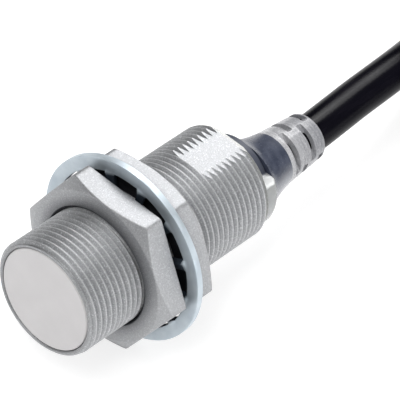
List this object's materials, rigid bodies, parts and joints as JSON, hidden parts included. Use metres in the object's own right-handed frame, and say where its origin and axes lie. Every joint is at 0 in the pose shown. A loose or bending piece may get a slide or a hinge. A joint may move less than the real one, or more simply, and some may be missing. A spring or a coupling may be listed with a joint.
{
  "type": "cylindrical inductive proximity sensor",
  "caption": "Threaded cylindrical inductive proximity sensor with a flat sensing face, clamping nuts, toothed washer, clear end cap, ribbed boot and a cable tied in a hank.",
  "frame": {"origin": "centre of the outside of the sensing face", "axes": "+X along the sensor from the sensing face to the cable, +Z out of the milled flat and up, +Y to the side"},
  "size_m": [0.189, 0.0558, 0.0318],
  "materials": {
    "coated_brass": "brass with a matt grey baked coating, fine grain",
    "cap_plastic": "moulded, smooth matt light grey",
    "ferrite": "sintered, matt black",
    "bobbin_plastic": "moulded, natural",
    "copper_wire": "enamelled copper wire",
    "holder_plastic": "moulded, black",
    "copper_foil": "bare copper on film",
    "resin": "cast, slightly cloudy",
    "board": "solder mask on glass laminate",
    "chip_plastic": "moulded, black",
    "diode_glass": "glass tube with metal ends",
    "ceramic": "fired ceramic with tinned ends",
    "led_resin": "diffused resin",
    "solder": "tinned, dull",
    "black_rubber": "moulded nitrile rubber",
    "clear_plastic": "clear moulded plastic",
    "dark_plastic": "smooth navy black",
    "clear_boot": "milky clear flexible plastic",
    "brown_insulation": "extruded vinyl",
    "blue_insulation": "extruded vinyl",
    "black_insulation": "extruded vinyl",
    "cable_jacket": "extruded vinyl jacket, satin black",
    "tie_plastic": "moulded strap",
    "zinc_steel": "zinc plated, pale blue passivation"
  },
  "bodies": {
    "sensor_body": {"housing": "coated_brass", "sensing_cap": "cap_plastic", "ferrite_core": "ferrite", "coil_bobbin": "bobbin_plastic", "coil_winding": "copper_wire", "coil_leads": "copper_wire", "core_holder": "holder_plastic", "shield_film": "copper_foil", "potting_resin": "resin", "circuit_board": "board", "sensor_ic": "chip_plastic", "output_transistor": "chip_plastic", "zener_diode": "diode_glass", "capacitors": "ceramic", "resistors": "chip_plastic", "indicator_leds": "led_resin", "solder_joints": "solder", "o_ring": "black_rubber", "end_cap": "clear_plastic", "cable_clamp": "dark_plastic", "strain_relief": "clear_boot", "wire_brown": "brown_insulation", "wire_blue": "blue_insulation", "wire_black": "black_insulation", "cable_lead": "cable_jacket", "cable_hank": "cable_jacket", "hank_ties": "tie_plastic", "cable_tail": "cable_jacket", "free_brown": "brown_insulation", "free_blue": "blue_insulation", "free_black": "black_insulation", "tinned_ends": "solder"},
    "washer": {"toothed_washer": "zinc_steel"},
    "front_nut": {"front_nut": "coated_brass"},
    "rear_nut": {"rear_nut": "coated_brass"}
  },
  "joints": [
    {"name": "washer_slide", "type": "slide", "parent": "sensor_body", "child": "washer", "axis": [-1, 0, 0], "range_m": [0, 0.009]},
    {"name": "front_nut_turn", "type": "hinge", "parent": "washer", "child": "front_nut", "pos_m": [0.0121, 0, 0], "axis": [-1, 0, 0], "range_deg": [0, 3240]},
    {"name": "rear_nut_slide", "type": "slide", "parent": "sensor_body", "child": "rear_nut", "axis": [1, 0, 0], "range_m": [0, 0.0155]}
  ],
  "couplings": [
    {"joint": "washer_slide", "follows": "front_nut_turn", "m_per_rad": 0.00015915}
  ]
}
